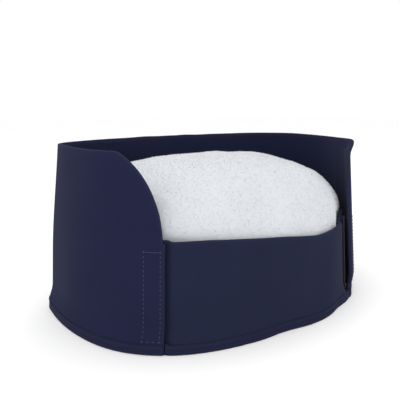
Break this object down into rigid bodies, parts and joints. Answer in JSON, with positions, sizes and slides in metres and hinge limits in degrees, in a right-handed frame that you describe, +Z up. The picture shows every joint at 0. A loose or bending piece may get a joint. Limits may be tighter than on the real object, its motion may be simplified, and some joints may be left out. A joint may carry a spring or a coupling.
{
  "type": "padded arm cradle",
  "caption": "Open D-shaped fabric tub with a high wrap, two wings that close over a low front panel, and a domed plush pad that cushions the forearm.",
  "frame": {"origin": "middle of the underside, on the surface that the cradle stands on", "axes": "-Y is the low front, +X runs along the width to the right end, +Z is up"},
  "size_m": [0.4, 0.267, 0.195],
  "materials": {
    "outer_fabric": "matte navy tricot laminated to foam",
    "lining_fabric": "matte navy lining",
    "foam": "open-cell foam",
    "stiff_board": "plain stiffening board",
    "hook_tape": "woven nylon hook tape",
    "loop_tape": "brushed nylon loop tape",
    "plush": "short white plush pile",
    "pad_backing": "plain white woven backing",
    "filling": "loose polyester fibre"
  },
  "bodies": {
    "shell": {"base_cover": "outer_fabric", "base_board": "stiff_board", "base_foam": "foam", "base_lining": "lining_fabric", "back_cover": "outer_fabric", "back_foam": "foam", "back_lining": "lining_fabric", "back_hem": "outer_fabric"},
    "left_wing": {"left_wing_cover": "outer_fabric", "left_wing_foam": "foam", "left_wing_lining": "lining_fabric", "left_wing_hem": "outer_fabric", "left_hook_tape": "hook_tape"},
    "right_wing": {"right_wing_cover": "outer_fabric", "right_wing_foam": "foam", "right_wing_lining": "lining_fabric", "right_wing_hem": "outer_fabric", "right_hook_tape": "hook_tape"},
    "front_panel": {"front_cover": "outer_fabric", "front_foam": "foam", "front_lining": "lining_fabric", "front_hem": "outer_fabric", "left_loop_tape": "loop_tape", "right_loop_tape": "loop_tape"},
    "pad": {"pad_plush_cover": "plush", "pad_base_cover": "pad_backing", "pad_filling": "filling"}
  },
  "joints": [
    {"name": "front_fold", "type": "hinge", "parent": "shell", "child": "front_panel", "pos_m": [0, -0.1335, 0.0004], "axis": [1, 0, 0], "range_deg": [0, 80]},
    {"name": "left_wing_swing", "type": "hinge", "parent": "shell", "child": "left_wing", "pos_m": [-0.19737, 0.00061, 0.0004], "axis": [-0.0683, -0.0183, -0.9975], "range_deg": [0, 120]},
    {"name": "right_wing_swing", "type": "hinge", "parent": "shell", "child": "right_wing", "pos_m": [0.19737, 0.00061, 0.0004], "axis": [-0.0683, 0.0183, 0.9975], "range_deg": [0, 120]},
    {"name": "pad_lift", "type": "slide", "parent": "shell", "child": "pad", "axis": [0, 0, 1], "range_m": [0, 0.22]}
  ],
  "couplings": [
    {"joint": "left_wing_swing", "follows": "front_fold", "ratio": 1.5},
    {"joint": "right_wing_swing", "follows": "front_fold", "ratio": 1.5}
  ]
}
